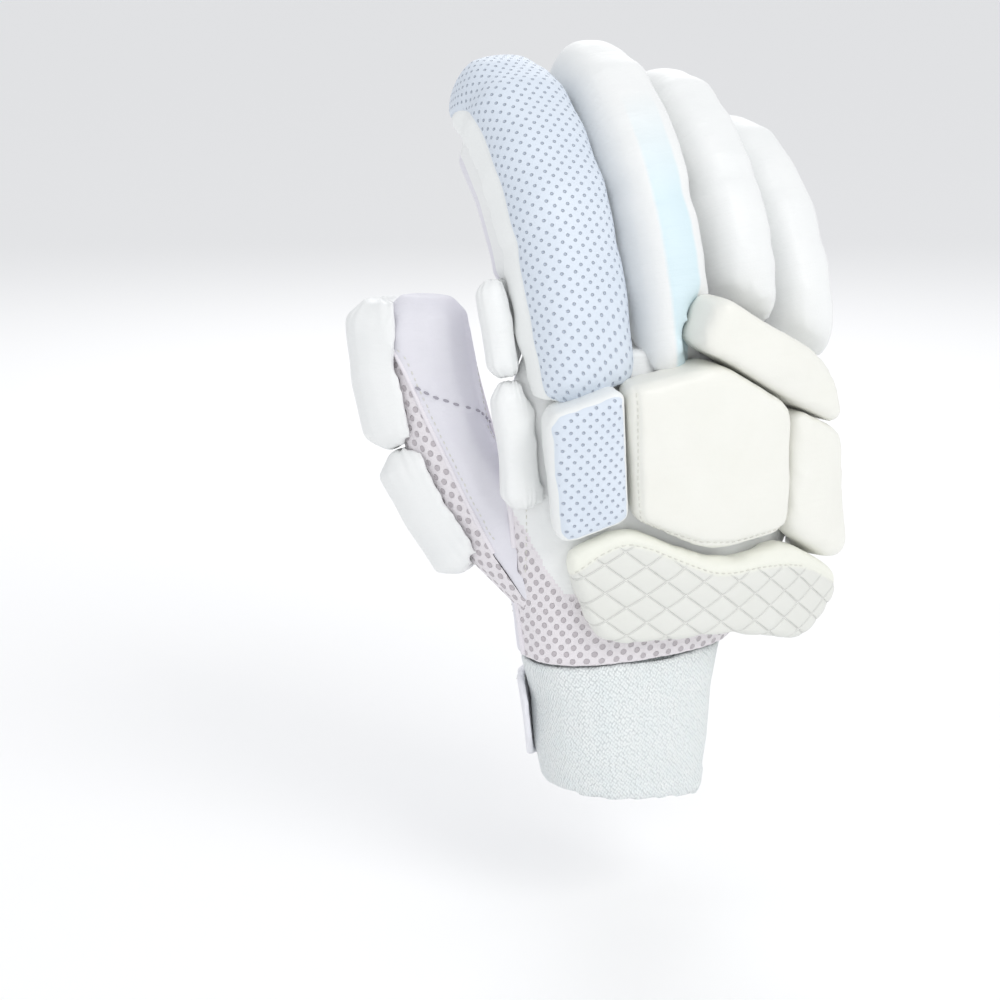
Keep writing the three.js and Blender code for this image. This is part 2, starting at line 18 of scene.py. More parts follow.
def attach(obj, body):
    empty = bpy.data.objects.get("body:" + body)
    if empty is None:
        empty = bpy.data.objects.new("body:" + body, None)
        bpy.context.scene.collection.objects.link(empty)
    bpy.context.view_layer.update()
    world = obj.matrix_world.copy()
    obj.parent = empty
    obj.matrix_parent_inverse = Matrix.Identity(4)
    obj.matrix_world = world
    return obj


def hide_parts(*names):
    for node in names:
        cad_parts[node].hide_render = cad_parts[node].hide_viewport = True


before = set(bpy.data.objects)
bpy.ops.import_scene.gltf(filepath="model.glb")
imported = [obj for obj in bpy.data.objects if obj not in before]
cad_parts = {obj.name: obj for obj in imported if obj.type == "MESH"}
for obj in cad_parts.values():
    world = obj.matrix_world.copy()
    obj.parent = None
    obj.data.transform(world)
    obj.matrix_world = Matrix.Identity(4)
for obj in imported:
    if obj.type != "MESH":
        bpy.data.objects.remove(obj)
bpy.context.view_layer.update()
mm = 0.001
scene = bpy.context.scene
print("solids:", len(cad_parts))

# %% [markdown]
# ## The view
#
# The photograph looks down a little on the back of the hand, from the thumb's side. A long lens keeps the
# shape calm.

# %% Camera
view_azimuth = math.radians(-28)
view_elevation = math.radians(15)
level = math.cos(view_elevation)
towards_camera = Vector(
    (math.sin(view_azimuth) * level, -math.cos(view_azimuth) * level, math.sin(view_elevation))
)
view_centre = Vector((-0.0424, 0.0225, 0.120))
view_distance = 0.9
bpy.ops.object.camera_add(location=view_centre + towards_camera * view_distance)
camera = bpy.context.object
camera.rotation_euler = towards_camera.to_track_quat("Z", "Y").to_euler()
camera.data.lens = 84
camera.data.sensor_width = 36
scene.camera = camera

# %% [markdown]
# ## The studio
#
# White leather on a white ground needs soft light from a large window in front and above, a much weaker
# fill from the thumb's side, or the rolls lose their roundness, and a rim light from behind. The Standard
# view transform keeps the white of the leather and of the floor, a plain pale sheet.

# %% Lights and floor
light_aim = Vector((0, 0, 0.14))


def add_light(name, place, size, power, colour):
    bpy.ops.object.light_add(type="AREA", location=place)
    light = bpy.context.object
    light.name = name
    light.rotation_euler = (light_aim - Vector(place)).to_track_quat("-Z", "Y").to_euler()
    light.data.size = size
    light.data.energy = power
    light.data.color = colour


add_light("window", (0.15, -1.15, 1.05), 0.7, 6.5, (1.0, 0.99, 0.98))
add_light("fill", (-1.3, -0.5, 0.35), 1.0, 1.2, (0.97, 0.98, 1.0))
add_light("rim", (0.5, 1.0, 0.9), 0.9, 4, (1.0, 1.0, 1.0))

floor_size = 30
floor_drop = 0.05
bpy.ops.mesh.primitive_plane_add(size=floor_size, location=(0, 0, -floor_drop))
floor = bpy.context.object
floor.name = "floor"

world = bpy.data.worlds.new("studio")
scene.world = world
world.use_nodes = True
world.node_tree.nodes["Background"].inputs["Color"].default_value = (0.97, 0.98, 1.0, 1)
world.node_tree.nodes["Background"].inputs["Strength"].default_value = 0.8
scene.view_settings.view_transform = "Standard"

# %% [markdown]
# ## Tools for soft pieces
#
# A sewn piece starts as a copy of its solid. The copy is merged, given an even skin of small squares, and
# smoothed. Smoothing alternates a step in and a slightly larger step out, so that the piece doesn't
# shrink.

# %% Points in and out of a mesh
def read_all(items, key, kind=np.float32, width=1):
    values = np.empty(len(items) * width, kind)
    items.foreach_get(key, values)
    return values


def points_of(piece):
    return read_all(piece.data.vertices, "co", width=3).reshape(-1, 3).astype(float) / mm


def set_points(piece, points):
    piece.data.vertices.foreach_set("co", (points * mm).astype(np.float32).ravel())
    piece.data.update()


def normals_of(piece):
    return read_all(piece.data.vertices, "normal", width=3).reshape(-1, 3).astype(float)


def make_active(piece):
    bpy.ops.object.select_all(action="DESELECT")
    piece.select_set(True)
    bpy.context.view_layer.objects.active = piece


def apply_modifier(piece, kind, **settings):
    modifier = piece.modifiers.new(kind.lower(), kind)
    for key, value in settings.items():
        setattr(modifier, key, value)
    make_active(piece)
    bpy.ops.object.modifier_apply(modifier=modifier.name)


# %% Copies and even skins
def piece_from(name, shape):
    mesh = bpy.data.meshes.new(name)
    shape.to_mesh(mesh)
    shape.free()
    piece = bpy.data.objects.new(name, mesh)
    scene.collection.objects.link(piece)
    return piece


def merged_copy(name, nodes):
    shape = bmesh.new()
    for node in nodes:
        shape.from_mesh(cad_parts[node].data)
    bmesh.ops.remove_doubles(shape, verts=shape.verts, dist=1e-6)
    return piece_from(name, shape)


def even_skin(piece, voxel):
    apply_modifier(piece, "REMESH", mode="VOXEL", voxel_size=voxel * mm, use_smooth_shade=True)


def smooth_values(piece, values, rounds, shrink=0.0):
    """Spreads a value per vertex over its neighbours. A shrink of 0 steps back out after each round."""
    ends = read_all(piece.data.edges, "vertices", np.int32, 2)
    a, b = ends[0::2], ends[1::2]
    count = len(values)
    degree = np.maximum(np.bincount(a, minlength=count) + np.bincount(b, minlength=count), 1)
    columns = values.reshape(count, -1).T.copy()
    for _ in range(rounds):
        for weight in (0.5, 0.0 if shrink else -0.52):
            for column in columns:
                around = np.bincount(a, column[b], count) + np.bincount(b, column[a], count)
                column += weight * (around / degree - column)
    return columns.T.reshape(values.shape)


# %% [markdown]
# ## Foam that presses outwards
#
# A roll or pad is foam under tight leather. Its skin is first drawn in a little, then blown up by cloth
# pressure, and each point may move only so far. A point that falls short is pulled back to just under the
# solid's face. Close to a neighbour the skin stays on its own solid, and elsewhere it may stand a little
# proud, which rounds off the solid's facets.

# %% Foam pieces
near_skin = 0.3
free_gap = 1.2
free_fade = 4.0
cloth_frames = 14


def tree_of(nodes):
    vertices, faces = [], []
    for node in nodes:
        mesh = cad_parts[node].data
        start = len(vertices)
        vertices.extend(v.co / mm for v in mesh.vertices)
        faces.extend([start + i for i in p.vertices] for p in mesh.polygons)
    return BVHTree.FromPolygons(vertices, faces)


def fit_to_solid(points, nodes, proud):
    own = tree_of(nodes)
    others = tree_of([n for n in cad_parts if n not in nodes])
    fitted = points.copy()
    for i, point in enumerate(points):
        place = Vector(point)
        near, normal, _, distance = own.find_nearest(place)
        if (place - near).dot(normal) <= 0:
            fitted[i] = near + (place - near) * min(1.0, near_skin / max(distance, 1e-6))
            continue
        free = min(1.0, max(0.0, (others.find_nearest(near)[3] - free_gap) / free_fade))
        allowed = near_skin + free * (proud - near_skin)
        if distance > allowed:
            fitted[i] = near + (place - near) * (allowed / distance)
    return fitted


def blow_up(piece, drawn_in, pressure, furthest):
    start = points_of(piece) - normals_of(piece) * drawn_in
    set_points(piece, start)
    make_active(piece)
    foam = piece.modifiers.new("foam", "CLOTH")
    foam.settings.use_pressure = True
    foam.settings.uniform_pressure_force = pressure
    foam.settings.effector_weights.gravity = 0
    for number in range(1, cloth_frames + 1):
        scene.frame_set(number)
    bpy.ops.object.modifier_apply(modifier=foam.name)
    scene.frame_set(1)
    move = points_of(piece) - start
    length = np.linalg.norm(move, axis=1, keepdims=True)
    return start + move * np.minimum(1.0, furthest / np.maximum(length, 1e-9))


def foam_piece(name, node, voxel, proud=1.2):
    piece = merged_copy(name, [node])
    even_skin(piece, voxel)
    set_points(piece, smooth_values(piece, points_of(piece), 6))
    blown = blow_up(piece, 1.0, 4.0, 2.2)
    fitted = fit_to_solid(smooth_values(piece, blown, 2), [node], proud)
    set_points(piece, smooth_values(piece, fitted, 1))
    apply_modifier(piece, "SUBSURF", levels=2, render_levels=2)
    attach(piece, "root")
    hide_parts(node)
    print(name, "faces:", len(piece.data.polygons))
    return piece


# %% [markdown]
# ## Where a point lies on the glove
#
# Patterns follow the piece that they are printed or pressed on. A finger bends in two arcs, so a point on
# it is given as how far along the finger, how far across, and how high above the finger's middle. A pad
# lies on a round bed, so a point on it is given as how far round, how far up, and how high above the bed.

# %% Along a limb
class Limb:
    def __init__(self, root, up, palm, bends, length):
        self.root, self.up, self.palm = (np.array(v, float) for v in (root, up, palm))
        self.side = np.cross(-self.palm, self.up)
        self.bends = np.radians(bends)
        self.length = length

    def arc(self, start_point, start, rate, s):
        bend = start + rate * s
        forward = (np.sin(bend) - np.sin(start)) / rate
        down = (np.cos(start) - np.cos(bend)) / rate
        at = start_point + np.outer(forward, self.up) + np.outer(down, self.palm)
        return at, bend

    def frames(self, s):
        s = np.atleast_1d(np.asarray(s, float))
        half = self.length / 2
        first, middle, last = self.bends
        lower, low_bend = self.arc(self.root, first, (middle - first) / half, s)
        top = self.arc(self.root, first, (middle - first) / half, np.array([half]))[0][0]
        upper, high_bend = self.arc(top, middle, (last - middle) / half, s - half)
        at = np.where((s < half)[:, None], lower, upper)
        bend = np.where(s < half, low_bend, high_bend)
        out = np.outer(-np.cos(bend), self.palm) + np.outer(np.sin(bend), self.up)
        ahead = np.outer(np.cos(bend), self.up) + np.outer(np.sin(bend), self.palm)
        return at, ahead, out, bend

    def lay(self, points):
        """Along, across and above the limb, and its bend there, for each point."""
        steps = np.arange(-30.0, self.length + 30.0, 1.0)
        at, ahead, out, bend = self.frames(steps)
        nearest = np.concatenate(
            [np.argmin(((c[:, None] - at[None]) ** 2).sum(2), axis=1) for c in np.array_split(points, 40)]
        )
        offset = points - at[nearest]
        along = steps[nearest] + (offset * ahead[nearest]).sum(1)
        return along, offset @ self.side, (offset * out[nearest]).sum(1), bend[nearest]

    def place(self, along, across, above):
        at, _, out, _ = self.frames(along)
        return at + np.outer(np.atleast_1d(across), self.side) + out * np.atleast_1d(above)[:, None]


def unit(vector):
    return np.array(vector, float) / np.linalg.norm(vector)


def finger_limb(root, splay, turn, tip_bend, length):
    lean = math.radians(-9)
    up = unit((math.sin(math.radians(splay)), math.sin(lean), math.cos(lean)))
    palm = np.array([-math.sin(math.radians(turn)), math.cos(math.radians(turn)), 0.0])
    return Limb(root, up, unit(palm - up * palm.dot(up)), (16, 28, tip_bend), length)


limbs = {
    "index": finger_limb((-28.5, -8.1, 155.0), -4, -3, 70, 125.1),
    "middle": finger_limb((5.7, -14.6, 156.2), -2, -1, 70, 129.0),
    "ring": finger_limb((35.8, -13.1, 153.8), 1, 4, 70, 117.4),
    "little": finger_limb((64.0, -5.6, 148.9), 4, 9, 68, 99.3),
}
thumb_aim = unit((-0.33, 0.44, 1))
thumb_nail = np.array([-0.72, 0.69, 0.0])
thumb_nail = unit(thumb_nail - thumb_aim * thumb_nail.dot(thumb_aim))
limbs["thumb"] = Limb((-34.3, -0.5, 95.2), thumb_aim, -thumb_nail, (-25, 2, 32), 121)

# %% Round the bed of the pads
hand_base = 62.3
hand_height = 122.0
hand_shift = 14.0
bed_radius = 170.0
bed_depth = 17.0
bed_flare = 0.36


def bed_middle(up):
    above = np.maximum(up, hand_height * bed_flare)
    return bed_radius - bed_depth - math.tan(math.radians(9)) * above


def bed_lay(points):
    up = points[:, 2] - hand_base
    x = points[:, 0] - hand_shift
    y = bed_middle(up) - points[:, 1]
    return bed_radius * np.arctan2(x, y), up, np.hypot(x, y) - bed_radius


def bed_place(across, up, rise):
    across, up, rise = (np.atleast_1d(np.asarray(v, float)) for v in (across, up, rise))
    angle = across / bed_radius
    radius = bed_radius + rise
    return np.stack(
        [hand_shift + radius * np.sin(angle), bed_middle(up) - radius * np.cos(angle), hand_base + up], axis=1
    )


# %% Layouts and masks on a mesh
def set_layout(piece, across, along, period=None):
    """Stores where each vertex lies as a UV map named lay, in millimetres. A period closes a tube."""
    mesh = piece.data
    layer = mesh.uv_layers.new(name="lay")
    corners = read_all(mesh.loops, "vertex_index", np.int32)
    u, v = across[corners].copy(), along[corners]
    if period:
        starts = read_all(mesh.polygons, "loop_start", np.int32)
        sizes = np.diff(np.append(starts, len(u)))
        low = np.repeat(np.minimum.reduceat(u, starts), sizes)
        high = np.repeat(np.maximum.reduceat(u, starts), sizes)
        u[(high - low > period / 2) & (u < low + period / 2)] += period
    layer.data.foreach_set("uv", np.stack([u, v], axis=1).astype(np.float32).ravel())


def set_mask(piece, name, values):
    layer = piece.data.attributes.get(name) or piece.data.attributes.new(name, "FLOAT", "POINT")
    layer.data.foreach_set("value", values.astype(np.float32))


def push_out(piece, distance):
    set_points(piece, points_of(piece) + normals_of(piece) * distance[:, None])


def ridge(value, width):
    return np.exp(-((value / width) ** 2))


def round_dome(across, drop):
    """How far round a dome a point is, from how far across and how far below the top it lies."""
    power = 1.2
    return np.sign(across) * (np.abs(across) ** power + np.maximum(drop, 0) ** power) ** (1 / power)


def slow_noise(points, size, seed):
    """A soft random value per point, from a few waves of about that size."""
    chance = np.random.default_rng(seed)
    waves = 14
    total = np.zeros(len(points))
    for _ in range(waves):
        direction = unit(chance.normal(size=3)) * 2 * math.pi / (np.array(size) * chance.uniform(0.7, 1.5))
        total += np.sin(points @ direction + chance.uniform(0, 2 * math.pi))
    return total / waves ** 0.5


# %% [markdown]
# ## Finishes
#
# Each finish starts from the real stuff: full-grain sheep leather on the palm, smooth coated leather on
# the rolls, perforated leather on the index finger's roll, spacer mesh, and a tight knit. Colours are
# sRGB hex values. One function turns them to linear, and one adds a node with its settings and links.

# %% Node helpers
def linear(hex_colour):
    parts = [int(hex_colour[i : i + 2], 16) / 255 for i in (0, 2, 4)]
    return (*[c / 12.92 if c <= 0.04045 else ((c + 0.055) / 1.055) ** 2.4 for c in parts], 1.0)


def set_inputs(tree, node, inputs):
    for socket, value in inputs.items():
        if isinstance(value, bpy.types.NodeSocket):
            tree.links.new(value, node.inputs[socket])
        else:
            node.inputs[socket].default_value = value


def add(tree, kind, inputs=None, out=0, **settings):
    """Adds a node with its settings, and with a value or a link for its inputs, and gives one output."""
    made = tree.nodes.new("ShaderNode" + kind)
    for key, value in settings.items():
        setattr(made, key, value)
    set_inputs(tree, made, inputs or {})
    return made.outputs[out]


def cell_distance(tree, lay, degrees, scale, randomness):
    """How far it is to the nearest cell's middle, in a turned grid of cells."""
    turn = {"Vector": lay, "Rotation": (0, 0, math.radians(degrees)), "Scale": (*scale, 1.0)}
    cells = {"Vector": add(tree, "Mapping", turn), "Scale": 1.0, "Randomness": randomness}
    return add(tree, "TexVoronoi", cells, voronoi_dimensions="2D")


def new_finish(name, slot_colour):
    material = bpy.data.materials.new(name)
    material.use_nodes = True
    material.diffuse_color = linear(slot_colour)
    return material, material.node_tree


def surface(tree, height, depth, inputs, invert=False):
    """Gives the shader its inputs and a bump. The depth is in millimetres per unit of height."""
    relief = {"Height": height, "Strength": 1.0, "Distance": depth * mm}
    normal = add(tree, "Bump", relief, invert=invert)
    set_inputs(tree, tree.nodes["Principled BSDF"], {"Normal": normal, **inputs})


# %% [markdown]
# ### Leather
#
# Coated leather has a fine pebble grain, about 0.7 mm across, and soft creases that run across a bent
# finger. The grain and the creases are bumps, and the colour varies by a few percent, as skin does.
# Where the leather is perforated, the holes are painted a darker colour, which is painted shade in them.

# %% Leather base
def leather_height(tree, lay, object_place, crease):
    grain = add(tree, "TexVoronoi", {"Vector": object_place, "Scale": 1400.0}, feature="SMOOTH_F1")
    stretched = add(tree, "Mapping", {"Vector": lay, "Scale": (0.06, 0.33, 1.0)})
    creases = add(tree, "TexNoise", {"Vector": stretched, "Scale": 1.0, "Detail": 5.0})
    fine = add(tree, "Math", {0: grain, 1: 0.12}, operation="MULTIPLY")
    return add(tree, "Math", {0: creases, 1: crease, 2: fine}, operation="MULTIPLY_ADD")


def leather(
    name, light, dark, roughness, crease, pits=None, pit_shade=None, mask=None, beside=None, stripe=None
):
    material, tree = new_finish(name, light)
    place = add(tree, "TexCoord", out="Object")
    lay = add(tree, "UVMap", uv_map="lay")
    height = leather_height(tree, lay, place, crease)
    patches = add(tree, "TexNoise", {"Vector": place, "Scale": 45.0, "Detail": 4.0})
    colour = add(tree, "Mix", {0: patches, 6: linear(light), 7: linear(dark)}, 2, data_type="RGBA")
    if stripe:
        printed = add(tree, "Attribute", out="Fac", attribute_name="stripe")
        colour = add(tree, "Mix", {0: printed, 6: colour, 7: linear(stripe)}, 2, data_type="RGBA")
    if pits:
        pitch, radius = pits
        distance = cell_distance(tree, lay, 45, (1 / pitch, 1 / pitch), 0.0)
        size = radius / pitch
        spot = {"Value": distance, 1: size * 0.35, 2: size * 1.25, 3: 1.0, 4: 0.0}
        spot = add(tree, "MapRange", spot, interpolation_type="SMOOTHSTEP")
        covered = add(tree, "Attribute", out="Fac", attribute_name=mask)
        inside = add(tree, "MapRange", {"Value": covered, 1: 0.5, 2: 1.1})
        pit = add(tree, "Math", {0: spot, 1: inside}, operation="MULTIPLY")
        if beside:
            side = add(tree, "MapRange", {"Value": covered, 1: -0.3, 2: 0.3})
            colour = add(tree, "Mix", {0: side, 6: linear(beside), 7: colour}, 2, data_type="RGBA")
        # The pits' darker colour is painted shade in the perforations.
        colour = add(tree, "Mix", {0: pit, 6: colour, 7: linear(pit_shade)}, 2, data_type="RGBA")
        height = add(tree, "Math", {0: pit, 1: -2.6, 2: height}, operation="MULTIPLY_ADD")
    looks = {"Base Color": colour, "Roughness": roughness, "IOR": 1.48, "Specular IOR Level": 0.45}
    surface(tree, height, 0.22, looks)
    return material


white_leather = leather("coated_white_leather", "F1F2F1", "E8EAEA", 0.46, 1.7)
striped_leather = leather("printed_white_leather", "F1F2F1", "E8EAEA", 0.46, 1.7, stripe="D6E8EE")
cream_leather = leather("coated_cream_leather", "F0F0EA", "E9E9E1", 0.44, 0.7)
# In the perforated leathers, B2BDCE and 85838D are painted shade in the holes.
blue_leather = leather(
    "perforated_blue_leather", "DDE5EF", "D3DDE9", 0.5, 0.6, (3.2, 0.6), "B2BDCE", "cover", "F1F3F2"
)
palm_hide = leather("sheep_palm_hide", "E8E7ED", "DCDBE3", 0.62, 1.8, (7.0, 0.9), "85838D", "vents")
strap_leather = leather("strap_leather", "EFEFF3", "E4E4EA", 0.55, 1.2, stripe="D3E4ED")

# %% [markdown]
# ### Spacer mesh
#
# Two knitted faces stand a millimetre or two apart on a pile of fine thread. The outer face has round
# holes, here 2.3 mm wide and 4 mm apart in a staggered grid, and the shaded pile shows in them.

# %% Spacer mesh
def spacer_mesh(name, strand, shade, pitch, radius):
    material, tree = new_finish(name, strand)
    lay = add(tree, "UVMap", uv_map="lay")
    distance = cell_distance(tree, lay, 45, (1 / pitch, 1 / pitch), 0.06)
    size = radius / pitch
    spot = {"Value": distance, 1: size * 0.8, 2: size * 1.15, 3: 1.0, 4: 0.0}
    spot = add(tree, "MapRange", spot, interpolation_type="SMOOTHSTEP")
    open_part = add(tree, "Attribute", out="Fac", attribute_name="holes")
    hole = add(tree, "Math", {0: spot, 1: open_part}, operation="MULTIPLY")
    threads = add(tree, "TexVoronoi", {"Vector": lay, "Scale": 2.2}, voronoi_dimensions="2D")
    fuzz = add(tree, "TexNoise", {"Vector": lay, "Scale": 1.6, "Detail": 4.0})
    light = add(tree, "Mix", {0: fuzz, 6: linear(strand), 7: linear("E3DEE2")}, 2, data_type="RGBA")
    deep = add(tree, "Mix", {0: fuzz, 6: linear(shade), 7: linear("B3ACB1")}, 2, data_type="RGBA")
    colour = add(tree, "Mix", {0: hole, 6: light, 7: deep}, 2, data_type="RGBA")
    relief = add(tree, "Math", {0: threads, 1: -0.35}, operation="MULTIPLY")
    relief = add(tree, "Math", {0: hole, 1: -1.0, 2: relief}, operation="MULTIPLY_ADD")
    surface(tree, relief, 0.4, {"Base Color": colour, "Roughness": 0.85, "Sheen Weight": 0.25})
    return material


air_mesh = spacer_mesh("spacer_mesh", "EEEAED", "CCC6CA", 4.0, 1.15)

# %% [markdown]
# ### Knit
#
# The wristband is a tight plain knit. Its stitches are about a millimetre wide, drawn as uneven leaning
# cells, with painted shade in the small gaps between the loops.

# %% Knit
def knit_fabric(name, light, dark, stitch):
    material, tree = new_finish(name, light)
    lay = add(tree, "UVMap", uv_map="lay")
    wobble = add(tree, "TexNoise", {"Vector": lay, "Scale": 0.35, "Detail": 3.0}, "Color")
    shifted = add(tree, "VectorMath", {0: wobble, 1: (0.9, 0.9, 0.0), 2: lay}, operation="MULTIPLY_ADD")
    distance = cell_distance(tree, shifted, 38, (1 / stitch, 0.72 / stitch), 0.35)
    shaded_gaps = add(tree, "MapRange", {"Value": distance, 1: 0.35, 2: 0.75})
    patches = add(tree, "TexNoise", {"Vector": lay, "Scale": 0.12, "Detail": 3.0})
    base = add(tree, "Mix", {0: patches, 6: linear(light), 7: linear("E9F1F2")}, 2, data_type="RGBA")
    # The dark colour in the gaps between the loops is painted shade.
    colour = add(tree, "Mix", {0: shaded_gaps, 6: base, 7: linear(dark)}, 2, data_type="RGBA")
    looks = {"Base Color": colour, "Roughness": 0.9, "Sheen Weight": 0.3}
    surface(tree, shaded_gaps, 0.4, looks, invert=True)
    return material


# DCE2E3 is painted shade in the gaps between the loops.
knit = knit_fabric("cuff_knit", "F4F6F5", "DCE2E3", 0.95)

# %% [markdown]
# ### Pressed tiles
#
# The wrist pad's leather is pressed in a hot mould, which leaves rounded diamonds with narrow grooves
# between them, and the grooves carry a little painted shade. The diamonds are 16 mm wide and 11 mm high,
# worked out from the photograph's grid.

# %% Tiled leather
tile_a = np.array([0.0734, 0.0934])
tile_b = np.array([0.0501, -0.0879])


def tiled_leather(name, light, dark, groove_shade):
    material, tree = new_finish(name, light)
    place = add(tree, "TexCoord", out="Object")
    lay = add(tree, "UVMap", uv_map="lay")
    edges = []
    for a, b in (tile_a, tile_b):
        way = {0: lay, 1: (float(a), float(b), 0.0)}
        across = add(tree, "VectorMath", way, "Value", operation="DOT_PRODUCT")
        edges.append(add(tree, "Math", {0: across, 1: 0.5}, operation="PINGPONG"))
    nearest = add(tree, "Math", {0: edges[0], 1: edges[1], 2: 0.05}, operation="SMOOTH_MIN")
    near = {"Value": nearest, 1: 0.008, 2: 0.05, 3: 1.0, 4: 0.0}
    near = add(tree, "MapRange", near, interpolation_type="SMOOTHSTEP")
    tiled = add(tree, "Attribute", out="Fac", attribute_name="tiled")
    line = add(tree, "Math", {0: near, 1: tiled}, operation="MULTIPLY")
    patches = add(tree, "TexNoise", {"Vector": place, "Scale": 60.0, "Detail": 4.0})
    skin = add(tree, "Mix", {0: patches, 6: linear(light), 7: linear(dark)}, 2, data_type="RGBA")
    band = add(tree, "Mix", {0: tiled, 6: linear("ECEDE3"), 7: skin}, 2, data_type="RGBA")
    # The groove colour is painted shade in the grooves between the tiles.
    colour = add(tree, "Mix", {0: line, 6: band, 7: linear(groove_shade)}, 2, data_type="RGBA")
    height = leather_height(tree, lay, place, 0.6)
    height = add(tree, "Math", {0: line, 1: -0.9, 2: height}, operation="MULTIPLY_ADD")
    surface(tree, height, 0.3, {"Base Color": colour, "Roughness": 0.5, "IOR": 1.48})
    return material


# DFE0DB is painted shade in the grooves.
tiled_finish = tiled_leather("pressed_tile_leather", "E3E4DF", "DDDED8", "DFE0DB")

# %% [markdown]
# ### Thread, welt and floor
#
# Bonded nylon thread is thin and a little shiny. The welt is a folded strip of palm leather round a cord.

# %% Plain finishes
def plain(name, colour, roughness, scale, depth):
    material, tree = new_finish(name, colour)
    place = add(tree, "TexCoord", out="Object")
    height = add(tree, "TexNoise", {"Vector": place, "Scale": scale, "Detail": 3.0})
    surface(tree, height, depth, {"Base Color": linear(colour), "Roughness": roughness})
    return material


thread = plain("bonded_nylon_thread", "DADAD2", 0.45, 3000, 0.05)
dark_thread = plain("grey_nylon_thread", "A5A2AC", 0.5, 3000, 0.05)
welt_leather = plain("welt_leather", "E9E5EA", 0.6, 1600, 0.08)
floor.data.materials.append(plain("floor_paper", "FBFBFB", 0.9, 40, 0.05))
print("finishes:", len(bpy.data.materials))

# %% [markdown]
# ## Finger rolls
#
# A roll is a tube of foam with its leather pulled over it and sewn down at both sides. On the index
# finger the top is perforated blue leather and the sides are plain, with a seam between them. Leather
# creases where the finger bends.

# %% Dress a roll
roll_top = 32.5
roll_middle = 8
roll_radius = 22
foot_length = 30
tip_length = 40
stripe_sides = (-6, 7)
stripe_end = 128
stripe_fade = 45
soft_edge = 1.2


def dress_roll(piece, limb, cover_from, foot, fold_places, seed):
    """The foot is how far the lower end reaches on, at the little finger's side and at the thumb's side."""
    points = points_of(piece)
    along, across, above, bend = limb.lay(points)
    run = along + roll_top * (bend - limb.bends[0])
    steps = np.arange(-15, 16, 5)
    starts = [run[np.abs(across - step) < 3].min() for step in steps]
    lower_end = np.clip((np.interp(across, steps, starts) + foot_length - run) / foot_length, 0, 1) ** 1.4
    root_way = unit(limb.place(0, 0, 20)[0] - limb.place(20, 0, 20)[0])
    points += root_way * (np.interp(across, (-14, 14), foot) * lower_end)[:, None]
    set_points(piece, points)
    round_it = np.arctan2(across, above - roll_middle) * roll_radius
    tip = np.clip((run - run.max() + tip_length) / 30, 0, 1) ** 2
    cover = above - cover_from * (1 - tip)
    outside = np.clip((above + 8) / 8, 0, 1)
    press = -0.7 * ridge(cover, 0.9) + 0.35 * np.tanh(cover / 1.5)
    for place, depth, width, lean in fold_places:
        press -= depth * ridge(run - place - lean * across, width)
    press += 0.2 * slow_noise(np.stack([round_it, run * 2.2, 0 * run], 1), 30, seed)
    push_out(piece, press * outside)
    set_layout(piece, round_it, run)
    set_mask(piece, "cover", cover)
    inside = np.clip((round_it - stripe_sides[0]) / soft_edge, 0, 1)
    inside *= np.clip((stripe_sides[1] - round_it) / soft_edge, 0, 1)
    set_mask(piece, "stripe", inside * np.clip((stripe_end - run) / stripe_fade, 0, 1))


index_roll = foam_piece("index_roll_foam", "index_roll", 3.4)
dress_roll(index_roll, limbs["index"], 17.5, (13.0, 1.5), [(70, 0.6, 5, 0.2), (150, 0.5, 4, -0.3)], 1)
index_roll.data.materials.append(blue_leather)

for name, foot, folds, seed in (
    ("middle", (7.0, 5.0), [(88, 0.8, 7, 0.25), (42, 0.3, 6, 0.1)], 2),
    ("ring", (4.0, 4.0), [(96, 0.6, 7, 0.2)], 3),
    ("little", (5.0, 8.0), [(70, 0.5, 7, 0.2)], 4),
):
    roll = foam_piece(f"{name}_roll_foam", f"{name}_roll", 3.2)
    dress_roll(roll, limbs[name], 2.0, foot, folds, seed)
    roll.data.materials.append(striped_leather if name == "middle" else white_leather)

# %% [markdown]
# ## Pads
#
# The pads on the back of the hand are flat foam blocks with rounded edges, each in its own leather
# pocket. A stitched line runs just inside some edges and draws the leather in. Stitches are made once and
# copied along the line.

# %% Lines on the bed
half_width = 65.0


def corners_of(*shares):
    return np.array([(across * half_width, up * hand_height) for across, up in shares])


def distance_to(line, across, up):
    places = np.stack([across, up], axis=1)
    best = np.full(len(places), 1e9)
    for start, end in zip(line[:-1], line[1:]):
        step = end - start
        share = np.clip(((places - start) @ step) / (step @ step), 0, 1)
        best = np.minimum(best, np.linalg.norm(places - start - share[:, None] * step, axis=1))
    return best


def rounded(line, rounds):
    """A line with its corners cut, each round at a quarter of both edges."""
    for _ in range(rounds):
        cut = [line[0]]
        for start, end in zip(line[:-1], line[1:]):
            cut += [start * 0.75 + end * 0.25, start * 0.25 + end * 0.75]
        line = np.array(cut + [line[-1]])
    return line


def evenly(line, spacing):
    length = np.concatenate([[0], np.cumsum(np.linalg.norm(np.diff(line, axis=0), axis=1))])
    count = max(2, int(round(length[-1] / spacing)) + 1)
    places = np.linspace(0, length[-1], count)
    return np.stack([np.interp(places, length, column) for column in line.T], axis=1)


# %% Stitches
def drop_onto(piece, starts, directions):
    """Where rays from the starts meet a piece, with the surface's direction there."""
    hits = []
    for start, direction in zip(starts, directions):
        found, place, normal, _ = piece.ray_cast(Vector(start) * mm, Vector(direction))
        if found:
            hits.append((np.array(place) / mm, np.array(normal)))
    return hits


